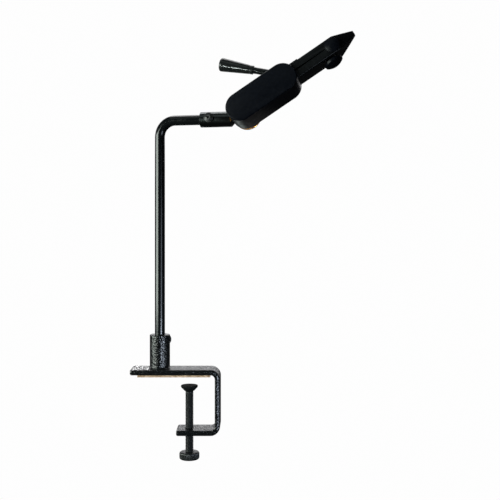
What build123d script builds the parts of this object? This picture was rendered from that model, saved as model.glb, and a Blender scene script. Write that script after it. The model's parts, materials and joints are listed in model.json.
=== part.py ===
from build123d import *
from math import cos, degrees, radians, sin, sqrt
import os

# Fly-tying vise on a table clamp. Millimetres, +Z up, +X along the clamp plate towards its spine.
# The origin lies on the stem's axis, in the underside of the cork pad that rests on the table.

# Fits and gaps
RUN_FIT = 0.05
PRESS_FIT = 0.02
FLAT_GAP = 0.3
LOCK_TIP_GAP = 0.15

# Clamp frame, bent from flat bar
BAR_WIDTH = 25.4
BAR_THICK = 5.0
PLATE_BACK = 27.0
SPINE_FACE = 57.5
LOWER_ARM = 41.2
CLAMP_HEIGHT = 61.7
CLAMP_BEND = 9.0
BAR_CORNER = 1.5

# Cork pad under the clamp plate
CORK_THICK = 1.8
CORK_BACK = 20.0
CORK_BEND_GAP = 0.2

# Clamp screw, knob and swivel pad
SCREW_X = 28.0
SCREW_DIA = 7.9
SCREW_LENGTH = 62.2
KNOB_DIA = 19.0
KNOB_THICK = 7.0
KNOB_ROUND = 2.0
KNOB_GRIP_DEPTH = 5.0
PAD_DIA = 16.0
PAD_FOOT_DIA = 9.0
PAD_RIM = 1.6
PAD_HEIGHT = 5.2
PAD_OPENING = 9.6
PAD_SHANK_GAP = 0.5
BALL_DIA = 6.0
BALL_DEPTH = 1.2
BALL_NECK_DIA = 4.0

# Stem socket, welded on the clamp plate
SOCKET_DIA = 19.05
SOCKET_HEIGHT = 31.75
SOCKET_CHAMFER = 0.6
WELD_LEG = 1.2
LOCK_BELOW_TOP = 5.4
LOCK_AZIMUTH = 50.0

# Button-head lock screws of the socket and the head swivel
LOCK_HEAD_DIA = 9.2
LOCK_HEAD_EDGE = 0.9
LOCK_HEAD_HIGH = 2.6
LOCK_SHANK_DIA = 4.8
HEX_KEY = 3.0
HEX_DEPTH = 1.4

# Stem, one bent round bar
STEM_DIA = 9.525
ARM_HEIGHT = 234.2
STEM_BEND = 15.0
ARM_YAW = 12.8
ARM_LENGTH = 66.9

# Head swivel: a sleeve on the arm, a neck and an eye for the tilt pivot
SLEEVE_DIA = 14.3
SLEEVE_LENGTH = 29.5
SLEEVE_FLOOR = 3.3
SLEEVE_LOCK = 9.2
SLIT_START = 3.2
SLIT_LENGTH = 15.5
SLIT_WIDTH = 1.0
NECK_LENGTH = 13.7
NECK_DIA = 7.5
EYE_DIA = 15.0
EYE_THICK = 11.6
HEAD_ROLL = 9.6
HEAD_TILT = 34.2

# Tilt pivot: bolt, bush, washer and brass lock wheel
PIVOT_DIA = 7.0
PIVOT_GRIP = 9.0
BUSH_WALL = 1.2
WASHER_DIA = 14.0
WASHER_THICK = 1.2
PIVOT_HEAD_DIA = 13.0
PIVOT_HEAD_EDGE = 1.2
PIVOT_HEAD_HIGH = 3.4
WHEEL_DIA = 25.2
WHEEL_THICK = 5.8
WHEEL_CHAMFER = 0.7

# Head housing: two halves that meet at the middle of the head
HOUSING_WIDTH = 26.5
HOUSING_CENTRES = 44.8
HOUSING_THICK = 28.0
HOUSING_RIM = 3.0
HOUSING_EDGE = 0.8
HOUSING_LIP = 4.0
CAVITY_BACK = 20.0
CAVITY_CORNER = 3.0
HOUSING_SCREW_DIA = 3.0
HOUSING_SCREW_GRIP = 12.7
HOUSING_SCREW_HEAD = 6.0
HOUSING_SCREW_CONE = 1.5
REAR_SCREW_U = 13.0
TAIL_SCREW_AHEAD = 8.0
TAIL_SCREW_PITCH = 13.0

# Jaws, one bar parted along a wedge-shaped slit
JAW_WIDTH = 20.0
JAW_CHEEK = 2.5
JAW_EDGE = 1.2
TAIL_STEP = 0.8
TAIL_ROOM = 1.0
TAIL_SHOULDER = 6.7
JAW_PIVOT_AHEAD = 38.7
NOSE_AHEAD = 3.4
NOSE_LENGTH = 19.0
NOSE_SECTIONS = 4
NOSE_CURVE = 1.05
TIP_HEIGHT = 4.2
TIP_WIDTH = 5.0
TIP_EDGE = 0.9
TIP_RISE = 1.2
TIP_GAP = 0.1
SLIT_SLOPE = 0.02

# Jaw pivot: a screw and a cap nut with matching domed heads
JAW_PIN_DIA = 5.0
JAW_LUG_DIA = 8.0
JAW_LUG_WIDTH = 9.0
JAW_CAP_DIA = 13.5
JAW_CAP_EDGE = 0.8
JAW_CAP_HIGH = 2.3
JAW_CAP_GRIP = 1.0

# Jaw adjusting screw under the lower jaw, with a rubber friction ring
ADJUST_BEHIND = 6.5
ADJUST_DIA = 3.5
ADJUST_HEAD_DIA = 17.2
ADJUST_HEAD_EDGE = 2.4
ADJUST_HEAD_HIGH = 5.5
ADJUST_TIP_GAP = 0.35
RING_WIRE = 1.7
RING_ROOM = 0.1

# Lever with an eccentric camshaft
CAM_AHEAD = 8.1
LEVER_ANGLE = 46.4
LEVER_THROW = 60.0
LOBE_DIA = 7.2
LOBE_OFFSET = 1.6
HUB_DIA = 8.0
HUB_WIDTH = 6.8
JOURNAL_DIA = 5.0
JOURNAL_GRIP = 2.2
ROD_DIA = 6.0
ROD_NECK_DIA = 4.0
ROD_SOCKET = 18.0
LEVER_SLOT_GAP = 0.6
GRIP_START = 36.6
GRIP_END = 68.4
GRIP_SMALL = 8.0
GRIP_LARGE = 13.1
GRIP_ROUND = 2.5

# Leaf spring over the upper jaw's tail
LEAF_WIDTH = 12.0
LEAF_LENGTH = 13.0
LEAF_THICK = 0.4
LEAF_ROOM = 1.95

# Heights and places that follow from the sizes above
plate_under = CORK_THICK
plate_top = CORK_THICK + BAR_THICK
clamp_bottom = plate_top - CLAMP_HEIGHT
socket_top = plate_top + SOCKET_HEIGHT
arm_z = plate_top + ARM_HEIGHT
pad_top = -PAD_OPENING
pad_bottom = pad_top - PAD_HEIGHT
ball_z = pad_top - BALL_DEPTH - BALL_DIA / 2
shank_top = pad_bottom - PAD_SHANK_GAP
screw_bottom = shank_top - SCREW_LENGTH
knob_bottom = screw_bottom - (KNOB_THICK - KNOB_GRIP_DEPTH)
sleeve_end = ARM_LENGTH + SLEEVE_FLOOR
sleeve_start = sleeve_end - SLEEVE_LENGTH
neck_cone = (SLEEVE_DIA - NECK_DIA) / 2
pivot_reach = sleeve_end + neck_cone + NECK_LENGTH

# Head sizes in its own frame: X along the jaws, Y away from the near face, Z towards the lever
half_thick = HOUSING_THICK / 2
half_width = HOUSING_WIDTH / 2
half_jaw = JAW_WIDTH / 2
jaw_height = HOUSING_WIDTH - 2 * (HOUSING_RIM + LEAF_ROOM + TAIL_STEP)
jaw_under = jaw_height / 2
tail_half = jaw_under + TAIL_STEP
cam_pocket = half_jaw - JAW_CHEEK
cavity_side = half_jaw + FLAT_GAP
cavity_roof = half_width - HOUSING_RIM
housing_front = HOUSING_CENTRES + half_width
shoulder_end = housing_front + TAIL_SHOULDER
tail_start = CAVITY_BACK + TAIL_ROOM
cam_along = HOUSING_CENTRES + CAM_AHEAD
jaw_pivot = housing_front + JAW_PIVOT_AHEAD
nose_start = jaw_pivot + NOSE_AHEAD
nose_tip = nose_start + NOSE_LENGTH
adjust_along = jaw_pivot - ADJUST_BEHIND
wheel_start = half_thick + FLAT_GAP
eye_start = wheel_start + WHEEL_THICK + FLAT_GAP
eye_end = eye_start + EYE_THICK
washer_start = eye_end + LOCK_TIP_GAP
head_offset = eye_start + EYE_THICK / 2
lug_half = JAW_LUG_WIDTH / 2
lobe_lift = 2 * LOBE_OFFSET * sin(radians(LEVER_THROW / 2))
lobe_reach = LOBE_OFFSET * cos(radians(LEVER_THROW / 2))
lobe_top = LOBE_DIA / 2 + lobe_lift / 2
cam_room = LOBE_DIA / 2 + LOBE_OFFSET + 1.0
journal_room = JOURNAL_DIA / 2 + 2 * FLAT_GAP
jaw_throw = degrees(lobe_lift / (jaw_pivot - cam_along - (lobe_reach + LOBE_OFFSET) / 2))
slot_half = ROD_DIA / 2 + LEVER_SLOT_GAP

# Placing frames
arm_frame = Pos(0, 0, arm_z) * Rot(0, 0, -ARM_YAW)
swivel_frame = arm_frame * Pos(pivot_reach, 0, 0) * Rot(-HEAD_ROLL, 0, 0)
head_frame = swivel_frame * Rot(0, -HEAD_TILT, 0) * Pos(0, -head_offset, 0)


def rod_x(diameter, start, end, y=0, z=0):
    """A round rod along X."""
    return Pos((start + end) / 2, y, z) * Rot(0, 90, 0) * Cylinder(diameter / 2, end - start)


def rod_y(diameter, start, end, x=0, z=0):
    """A round rod along Y."""
    return Pos(x, (start + end) / 2, z) * Rot(90, 0, 0) * Cylinder(diameter / 2, end - start)


def rod_z(diameter, start, end, x=0, y=0):
    """A round rod along Z."""
    return Pos(x, y, (start + end) / 2) * Cylinder(diameter / 2, end - start)


def block(x_span, y_span, z_span):
    """A square block between two limits on each axis."""
    sizes = [end - start for start, end in (x_span, y_span, z_span)]
    middle = [(start + end) / 2 for start, end in (x_span, y_span, z_span)]
    return Pos(*middle) * Box(*sizes)


def turned(*edges):
    """A solid turned about Z from the edges of its half profile, given as (radius, height)."""
    return Rot(90, 0, 0) * revolve(make_face(edges), Axis.Y)


def domed(diameter, edge, height):
    """A domed head that stands on Z=0: a straight edge, then a crown up to the full height."""
    radius = diameter / 2
    rise = height - edge
    crown_radius = (radius ** 2 + rise ** 2) / (2 * rise)
    middle = height - crown_radius + sqrt(crown_radius ** 2 - radius ** 2 / 4)
    outline = Polyline((0, height), (0, 0), (radius, 0), (radius, edge))
    crown = ThreePointArc((radius, edge), (radius / 2, middle), (0, height))
    return turned(outline, crown)


def hex_pocket(across, depth, height):
    """The cutter of a hexagon socket that opens upward at the given height."""
    return Pos(0, 0, height - depth) * extrude(RegularPolygon(across / 2, 6, major_radius=False), 2 * depth)


def lock_screw(shank_length):
    """A button-head screw: its head stands on Z=0 and its shank points down."""
    head = domed(LOCK_HEAD_DIA, LOCK_HEAD_EDGE, LOCK_HEAD_HIGH)
    head -= hex_pocket(HEX_KEY, HEX_DEPTH, LOCK_HEAD_HIGH)
    return head + rod_z(LOCK_SHANK_DIA, -shank_length, HEX_DEPTH / 2)


def nearest(shape, x, y):
    """The corner of a flat outline nearest to a point."""
    return shape.vertices().sort_by_distance((x, y, 0))[0]


# Clamp frame: the top plate, the spine and the lower arm are one bent bar
def make_clamp_frame():
    inner_face = SPINE_FACE - BAR_THICK
    arm_end = SPINE_FACE - LOWER_ARM
    arm_top = clamp_bottom + BAR_THICK
    outline = make_face(Polyline(
        (-PLATE_BACK, plate_top), (SPINE_FACE, plate_top), (SPINE_FACE, clamp_bottom),
        (arm_end, clamp_bottom), (arm_end, arm_top), (inner_face, arm_top),
        (inner_face, plate_under), (-PLATE_BACK, plate_under), close=True))
    outer = [nearest(outline, SPINE_FACE, plate_top), nearest(outline, SPINE_FACE, clamp_bottom)]
    outline = fillet(outer, CLAMP_BEND)
    inner = [nearest(outline, inner_face, plate_under), nearest(outline, inner_face, arm_top)]
    outline = fillet(inner, CLAMP_BEND - BAR_THICK)
    frame = Rot(90, 0, 0) * extrude(outline, BAR_WIDTH / 2, both=True)
    ends = frame.edges().filter_by(Axis.Z).filter_by(lambda edge: edge.length < BAR_THICK * 1.5)
    frame = fillet(ends, BAR_CORNER)
    return frame - rod_z(SCREW_DIA + 2 * RUN_FIT, clamp_bottom - 1, arm_top + 1, x=SCREW_X)


def make_cork_pad():
    end = SPINE_FACE - CLAMP_BEND - CORK_BEND_GAP
    return block((-CORK_BACK, end), (-BAR_WIDTH / 2, BAR_WIDTH / 2), (0, CORK_THICK))


# Clamp screw: a threaded rod with a ball on its upper end
def make_clamp_screw():
    screw = rod_z(SCREW_DIA, screw_bottom, shank_top)
    screw += rod_z(BALL_NECK_DIA, shank_top - 1, ball_z)
    screw += Pos(0, 0, ball_z) * Sphere(BALL_DIA / 2)
    return Pos(SCREW_X, 0, 0) * screw


def make_clamp_knob():
    knob = rod_z(KNOB_DIA, knob_bottom, knob_bottom + KNOB_THICK)
    knob = fillet(knob.edges().filter_by(GeomType.CIRCLE), KNOB_ROUND)
    knob -= rod_z(SCREW_DIA + 2 * PRESS_FIT, screw_bottom, knob_bottom + KNOB_THICK + 1)
    return Pos(SCREW_X, 0, 0) * knob


# Swivel pad: a flat disc with a tapered foot that is crimped round the ball
def make_swivel_pad():
    rim = PAD_DIA / 2
    foot = PAD_FOOT_DIA / 2
    pad = turned(Polyline(
        (0, pad_top), (rim, pad_top), (rim, pad_top - PAD_RIM), (foot, pad_bottom),
        (0, pad_bottom), close=True))
    pad -= Pos(0, 0, ball_z) * Sphere(BALL_DIA / 2 + RUN_FIT)
    neck_room = BALL_NECK_DIA + 4 * FLAT_GAP
    pad -= rod_z(neck_room, pad_bottom - 1, ball_z)
    return Pos(SCREW_X, 0, 0) * pad


# Stem socket: a tube with a weld bead round its foot
def make_stem_socket():
    outer = SOCKET_DIA / 2
    socket = turned(Polyline(
        (0, plate_top), (outer + WELD_LEG, plate_top), (outer, plate_top + WELD_LEG),
        (outer, socket_top - SOCKET_CHAMFER), (outer - SOCKET_CHAMFER, socket_top),
        (0, socket_top), close=True))
    socket -= rod_z(STEM_DIA + 2 * RUN_FIT, plate_top - 1, socket_top + 1)
    return socket - lock_place(SOCKET_DIA) * rod_z(LOCK_SHANK_DIA + 2 * RUN_FIT, -SOCKET_DIA / 2, 1)


def lock_place(diameter):
    """Where the socket's lock screw stands, its head just clear of the tube."""
    turn = Rot(0, 0, LOCK_AZIMUTH) * Rot(0, 90, 0)
    return Pos(0, 0, socket_top - LOCK_BELOW_TOP) * turn * Pos(0, 0, diameter / 2 + FLAT_GAP)


def make_socket_lock_screw():
    reach = (SOCKET_DIA - STEM_DIA) / 2 + FLAT_GAP - LOCK_TIP_GAP
    return lock_place(SOCKET_DIA) * lock_screw(reach)


# Stem: an upright and a level arm with one bend between them
def make_stem():
    foot = plate_top + FLAT_GAP
    path = FilletPolyline((0, 0, foot), (0, 0, arm_z), (ARM_LENGTH, 0, arm_z), radius=STEM_BEND)
    bar = sweep(Pos(0, 0, foot) * Circle(STEM_DIA / 2), path=path)
    return Rot(0, 0, -ARM_YAW) * bar


# Head swivel, in its own frame: the eye is round the origin and the sleeve lies along -X
def make_head_swivel():
    start = sleeve_start - pivot_reach
    end = sleeve_end - pivot_reach
    body = rod_x(SLEEVE_DIA, start, end)
    cone = Cone(SLEEVE_DIA / 2, NECK_DIA / 2, neck_cone)
    body += Pos(end + neck_cone / 2, 0, 0) * Rot(0, 90, 0) * cone
    body += rod_x(NECK_DIA, end, 0)
    body += rod_y(EYE_DIA, -EYE_THICK / 2, EYE_THICK / 2)
    body -= rod_y(PIVOT_DIA + 2 * (RUN_FIT + BUSH_WALL), -EYE_THICK, EYE_THICK)
    body -= rod_x(STEM_DIA + 2 * RUN_FIT, start - 1, ARM_LENGTH - pivot_reach + FLAT_GAP)
    slit_start = start + SLIT_START
    slit_sides = (-SLIT_WIDTH / 2, SLIT_WIDTH / 2)
    body -= block((slit_start, slit_start + SLIT_LENGTH), slit_sides, (-SLEEVE_DIA, 0))
    body -= swivel_lock_place() * rod_z(LOCK_SHANK_DIA + 2 * RUN_FIT, -SLEEVE_DIA / 2, 1)
    return swivel_frame * body


def swivel_lock_place():
    """Where the swivel's lock screw stands: on the sleeve's near side."""
    along = sleeve_start + SLEEVE_LOCK - pivot_reach
    return Pos(along, -SLEEVE_DIA / 2 - FLAT_GAP, 0) * Rot(90, 0, 0)


def make_swivel_lock_screw():
    reach = (SLEEVE_DIA - STEM_DIA) / 2 + FLAT_GAP - LOCK_TIP_GAP
    return swivel_frame * swivel_lock_place() * lock_screw(reach)


def make_pivot_bush():
    bore = PIVOT_DIA + 2 * RUN_FIT
    bush = rod_y(bore + 2 * BUSH_WALL, eye_start, eye_end)
    return head_frame * (bush - rod_y(bore, eye_start - 1, eye_end + 1))


# Tilt pivot bolt: its head is behind the eye and its end is in the far housing half
def make_pivot_bolt():
    head_start = washer_start + WASHER_THICK
    head = domed(PIVOT_HEAD_DIA, PIVOT_HEAD_EDGE, PIVOT_HEAD_HIGH)
    head -= hex_pocket(HEX_KEY + 1, HEX_DEPTH, PIVOT_HEAD_HIGH)
    bolt = Pos(0, head_start, 0) * Rot(-90, 0, 0) * head
    bolt += rod_y(PIVOT_DIA, half_thick - PIVOT_GRIP, head_start + 1)
    return head_frame * bolt


def make_pivot_washer():
    washer = rod_y(WASHER_DIA, washer_start, washer_start + WASHER_THICK)
    hole = rod_y(PIVOT_DIA + 2 * RUN_FIT, washer_start - 1, washer_start + WASHER_THICK + 1)
    return head_frame * (washer - hole)


def make_tilt_lock_wheel():
    wheel = rod_y(WHEEL_DIA, wheel_start, wheel_start + WHEEL_THICK)
    wheel = chamfer(wheel.edges().filter_by(GeomType.CIRCLE), WHEEL_CHAMFER)
    hole = rod_y(PIVOT_DIA + 2 * RUN_FIT, wheel_start - 1, wheel_start + WHEEL_THICK + 1)
    return head_frame * (wheel - hole)


# Housing: a flat-sided oval block with a cavity for the jaw tails, parted at the middle
def housing_block():
    outline = Pos(HOUSING_CENTRES / 2, 0) * SlotCenterToCenter(HOUSING_CENTRES, HOUSING_WIDTH)
    body = Rot(90, 0, 0) * extrude(outline, half_thick, both=True)
    rims = body.faces().filter_by(Axis.Y).edges()
    body = chamfer(rims, HOUSING_EDGE)
    lip = HOUSING_CENTRES + HOUSING_LIP
    sides = (-cavity_side, cavity_side)
    cavity = block((CAVITY_BACK, lip), sides, (-jaw_under, cavity_roof))
    corners = cavity.faces().sort_by(Axis.X)[0].edges().filter_by(Axis.Y).sort_by(Axis.Z)[-1:]
    body -= fillet(corners, CAVITY_CORNER)
    body -= block((lip - 1, housing_front + 1), sides, (-jaw_under, tail_half + FLAT_GAP))
    slot_back = cam_along - (half_width + ROD_DIA) / sin(radians(LEVER_ANGLE)) * cos(radians(LEVER_ANGLE))
    slot_start = slot_back - LEVER_SLOT_GAP
    body -= block((slot_start, housing_front + 1), (-slot_half, slot_half), (0, half_width + 1))
    bearing = JAW_WIDTH / 2 + JOURNAL_GRIP + FLAT_GAP
    body -= rod_y(JOURNAL_DIA + 2 * RUN_FIT, -bearing, bearing, x=cam_along)
    return body


def housing_screw_places():
    """The three screws that hold the housing together: along and up, in the head's frame."""
    slit_back = TIP_GAP / 2 + SLIT_SLOPE * (jaw_pivot - tail_start)
    level = -(jaw_under + slit_back) / 2
    tail = [(CAVITY_BACK + TAIL_SCREW_AHEAD + index * TAIL_SCREW_PITCH, level) for index in range(2)]
    return [(REAR_SCREW_U, 0.0)] + tail


def make_housing_near():
    near_side = block((-half_width - 1, housing_front + 1), (-half_thick, 0), (-half_width, half_width))
    half = housing_block() & near_side
    for along, level in housing_screw_places():
        half -= rod_y(HOUSING_SCREW_DIA + 2 * PRESS_FIT, -HOUSING_SCREW_GRIP, 1, along, level)
    return head_frame * half


def make_housing_far():
    far_side = block((-half_width - 1, housing_front + 1), (0, half_thick), (-half_width, half_width))
    half = housing_block() & far_side
    for along, level in housing_screw_places():
        half -= housing_screw(along, level, RUN_FIT)
    half -= rod_y(PIVOT_DIA + 2 * PRESS_FIT, half_thick - PIVOT_GRIP, half_thick + 1)
    return head_frame * half


def housing_screw(along, level, room):
    """A countersunk screw from the far face into the near half, or its hole with some room."""
    cone = Cone(HOUSING_SCREW_DIA / 2 + room, HOUSING_SCREW_HEAD / 2 + room, HOUSING_SCREW_CONE)
    sunk = Pos(along, half_thick - HOUSING_SCREW_CONE / 2, level) * Rot(-90, 0, 0) * cone
    return sunk + rod_y(HOUSING_SCREW_DIA + 2 * room, -HOUSING_SCREW_GRIP, half_thick - 0.5, along, level)


def make_housing_screws():
    screws = [head_frame * housing_screw(*place, 0) for place in housing_screw_places()]
    return Compound(children=screws)


# Jaws: one bar with a rounded nose, from which both jaws are parted
def jaw_section(along, width, height, edge, rise=0.0):
    """A rounded cross-section of the jaw bar, square to its length."""
    return Plane((along, 0, rise), x_dir=(0, 1, 0), z_dir=(1, 0, 0)) * RectangleRounded(width, height, edge)


def jaw_bar():
    tail = jaw_section(tail_start, JAW_WIDTH, jaw_under + tail_half, JAW_EDGE, TAIL_STEP / 2)
    bar = extrude(tail, shoulder_end - tail_start)
    bar += extrude(jaw_section(shoulder_end, JAW_WIDTH, jaw_height, JAW_EDGE), nose_start - shoulder_end)
    sections = []
    for index in range(NOSE_SECTIONS):
        part = index / (NOSE_SECTIONS - 1)
        taper = part ** NOSE_CURVE
        width = JAW_WIDTH + (TIP_WIDTH - JAW_WIDTH) * taper
        height = jaw_height + (TIP_HEIGHT - jaw_height) * taper
        edge = JAW_EDGE + (TIP_EDGE - JAW_EDGE) * part
        along = nose_start + (nose_tip - nose_start) * part
        sections.append(jaw_section(along, width, height, edge, TIP_RISE * taper))
    return bar + loft(sections)


def jaw_side(sign):
    """The space above (+1) or below (-1) the slit, which widens from the pivot to the tails."""
    start = TIP_GAP / 2
    back = start + SLIT_SLOPE * (jaw_pivot - tail_start + 1)
    outline = make_face(Polyline(
        (nose_tip + 1, sign * start), (jaw_pivot, sign * start), (tail_start - 1, sign * back),
        (tail_start - 1, sign * HOUSING_WIDTH), (nose_tip + 1, sign * HOUSING_WIDTH), close=True))
    return Rot(90, 0, 0) * extrude(outline, JAW_WIDTH, both=True)


def jaw_lug(start, end, room=0.0):
    """A round knuckle of the jaw pivot, or the recess that clears one."""
    return rod_y(JAW_LUG_DIA + 2 * room, start, end, x=jaw_pivot)


def journal_groove(low, high):
    """The groove across a jaw that clears the camshaft's journals beside the lobes' pocket."""
    span = (cam_along - journal_room, cam_along + journal_room)
    return block(span, (-half_jaw - 1, half_jaw + 1), (low, high))


def make_upper_jaw():
    jaw = jaw_bar() & jaw_side(1)
    for sign in (-1, 1):
        span = sorted((sign * lug_half, sign * (half_jaw + 1)))
        jaw -= jaw_lug(*span, room=FLAT_GAP)
    jaw += jaw_lug(-lug_half, lug_half)
    jaw -= rod_y(JAW_PIN_DIA + 2 * RUN_FIT, -half_jaw, half_jaw, x=jaw_pivot)
    cam_span = (cam_along - cam_room, cam_along + cam_room)
    jaw -= block(cam_span, (-cam_pocket, cam_pocket), (0, lobe_top + RUN_FIT))
    jaw -= journal_groove(0, JOURNAL_DIA / 2 + lobe_lift + FLAT_GAP)
    lean = tail_half / sin(radians(LEVER_ANGLE)) * cos(radians(LEVER_ANGLE))
    slot_start = cam_along - lean - ROD_DIA - LEVER_SLOT_GAP
    slot_side = max(slot_half, HUB_WIDTH / 2 + FLAT_GAP)
    jaw -= block((slot_start, cam_along + cam_room), (-slot_side, slot_side), (0, HOUSING_WIDTH))
    return head_frame * jaw


def make_lower_jaw():
    jaw = jaw_bar() & jaw_side(-1)
    jaw -= jaw_lug(-lug_half - FLAT_GAP, lug_half + FLAT_GAP, room=FLAT_GAP)
    for sign in (-1, 1):
        span = sorted((sign * (lug_half + FLAT_GAP), sign * half_jaw))
        jaw += jaw_lug(*span)
    jaw -= rod_y(JAW_PIN_DIA + 2 * PRESS_FIT, -half_jaw - 1, half_jaw + 1, x=jaw_pivot)
    cam_span = (cam_along - cam_room, cam_along + cam_room)
    jaw -= block(cam_span, (-cam_pocket, cam_pocket), (-lobe_top - FLAT_GAP, 0))
    jaw -= journal_groove(-JOURNAL_DIA / 2 - FLAT_GAP, 0)
    jaw -= rod_z(ADJUST_DIA + 2 * RUN_FIT, -jaw_height, 0, x=adjust_along)
    for along, level in housing_screw_places()[1:]:
        jaw -= rod_y(HOUSING_SCREW_DIA + 2 * RUN_FIT, -half_jaw - 1, half_jaw + 1, along, level)
    return head_frame * jaw


def jaw_cap():
    """A domed head of the jaw pivot that stands on Z=0."""
    return domed(JAW_CAP_DIA, JAW_CAP_EDGE, JAW_CAP_HIGH)


def make_jaw_pivot_screw():
    screw = Pos(jaw_pivot, half_jaw + RUN_FIT, 0) * Rot(-90, 0, 0) * jaw_cap()
    screw += rod_y(JAW_PIN_DIA, -half_jaw - RUN_FIT - JAW_CAP_GRIP, half_jaw + 0.5, x=jaw_pivot)
    return head_frame * screw


def make_jaw_pivot_cap():
    cap = Pos(jaw_pivot, -half_jaw - RUN_FIT, 0) * Rot(90, 0, 0) * jaw_cap()
    hole_end = -half_jaw - RUN_FIT - JAW_CAP_GRIP
    cap -= rod_y(JAW_PIN_DIA + 2 * PRESS_FIT, hole_end, 0, x=jaw_pivot)
    return head_frame * cap


# Adjusting screw: a domed thumb head under the lower jaw, on a rubber friction ring
def make_adjusting_screw():
    seat = -jaw_height / 2 - RING_WIRE - 2 * RING_ROOM
    head = domed(ADJUST_HEAD_DIA, ADJUST_HEAD_EDGE, ADJUST_HEAD_HIGH)
    head = Pos(adjust_along, 0, seat) * Rot(180, 0, 0) * head
    return head_frame * (head + rod_z(ADJUST_DIA, seat - 1, -ADJUST_TIP_GAP, x=adjust_along))


def make_friction_ring():
    middle = -jaw_height / 2 - RING_ROOM - RING_WIRE / 2
    ring = Torus(ADJUST_DIA / 2 + RING_ROOM + RING_WIRE / 2, RING_WIRE / 2)
    return head_frame * Pos(adjust_along, 0, middle) * ring


# Camshaft: journals in the housing, an eccentric lobe each side and a hub for the lever rod
def make_lever_camshaft():
    hub_half = HUB_WIDTH / 2
    end = half_jaw + JOURNAL_GRIP
    shaft = rod_y(JOURNAL_DIA, -end, end)
    shaft += rod_y(HUB_DIA, -hub_half, hub_half)
    for sign in (-1, 1):
        span = sorted((sign * hub_half, sign * (cam_pocket - FLAT_GAP)))
        shaft += rod_y(LOBE_DIA, *span, x=lobe_reach, z=lobe_lift / 2)
    hole = rod_x(ROD_NECK_DIA + 2 * PRESS_FIT, 0, HUB_DIA)
    return head_frame * Pos(cam_along, 0, 0) * (shaft - Rot(0, -180 + LEVER_ANGLE, 0) * hole)


def lever_frame():
    """The lever's frame: X runs from the camshaft's axis out along the rod."""
    return head_frame * Pos(cam_along, 0, 0) * Rot(0, -180 + LEVER_ANGLE, 0)


def make_lever_rod():
    rod = rod_x(ROD_DIA, HUB_DIA / 2 + FLAT_GAP / 2, GRIP_START + ROD_SOCKET)
    return lever_frame() * (rod + rod_x(ROD_NECK_DIA, 0, HUB_DIA))


def make_lever_grip():
    small = GRIP_SMALL / 2
    large = GRIP_LARGE / 2
    outline = make_face(Polyline(
        (0, GRIP_START), (small, GRIP_START), (large, GRIP_END), (0, GRIP_END), close=True))
    outline = fillet([nearest(outline, large, GRIP_END)], GRIP_ROUND)
    grip = Rot(90, 0, 0) * revolve(outline, Axis.Y)
    grip = Rot(0, 90, 0) * grip
    return lever_frame() * (grip - rod_x(ROD_DIA + 2 * PRESS_FIT, 0, GRIP_START + ROD_SOCKET))


# Leaf spring: an arched strip between the upper jaw's tail and the housing roof
def make_jaw_return_spring():
    foot = tail_half + RUN_FIT
    crown = cavity_roof - RUN_FIT - LEAF_THICK
    start = tail_start + (slot_room() - LEAF_LENGTH) / 2
    line = ThreePointArc((start, foot), (start + LEAF_LENGTH / 2, crown), (start + LEAF_LENGTH, foot))
    over = ThreePointArc(
        (start, foot + LEAF_THICK), (start + LEAF_LENGTH / 2, crown + LEAF_THICK),
        (start + LEAF_LENGTH, foot + LEAF_THICK))
    ends = [Line((at, foot), (at, foot + LEAF_THICK)) for at in (start, start + LEAF_LENGTH)]
    strip = extrude(make_face([line, over, *ends]), LEAF_WIDTH / 2, both=True)
    return head_frame * Rot(90, 0, 0) * strip


def slot_room():
    """How much of the upper jaw's tail lies behind the lever's slot."""
    lean = tail_half / sin(radians(LEVER_ANGLE)) * cos(radians(LEVER_ANGLE))
    return cam_along - lean - ROD_DIA - LEVER_SLOT_GAP - tail_start


PIECES = {
    "clamp_frame": make_clamp_frame,
    "cork_pad": make_cork_pad,
    "clamp_screw": make_clamp_screw,
    "clamp_knob": make_clamp_knob,
    "swivel_pad": make_swivel_pad,
    "stem_socket": make_stem_socket,
    "socket_lock_screw": make_socket_lock_screw,
    "stem": make_stem,
    "head_swivel": make_head_swivel,
    "swivel_lock_screw": make_swivel_lock_screw,
    "pivot_bush": make_pivot_bush,
    "pivot_bolt": make_pivot_bolt,
    "pivot_washer": make_pivot_washer,
    "tilt_lock_wheel": make_tilt_lock_wheel,
    "housing_near": make_housing_near,
    "housing_far": make_housing_far,
    "housing_screws": make_housing_screws,
    "upper_jaw": make_upper_jaw,
    "lower_jaw": make_lower_jaw,
    "jaw_pivot_screw": make_jaw_pivot_screw,
    "jaw_pivot_cap": make_jaw_pivot_cap,
    "jaw_return_spring": make_jaw_return_spring,
    "adjusting_screw": make_adjusting_screw,
    "friction_ring": make_friction_ring,
    "lever_camshaft": make_lever_camshaft,
    "lever_rod": make_lever_rod,
    "lever_grip": make_lever_grip,
}

os.makedirs("parts", exist_ok=True)
for name, make in PIECES.items():
    export_step(make(), f"parts/{name}.step")
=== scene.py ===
import json
from math import radians

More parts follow.
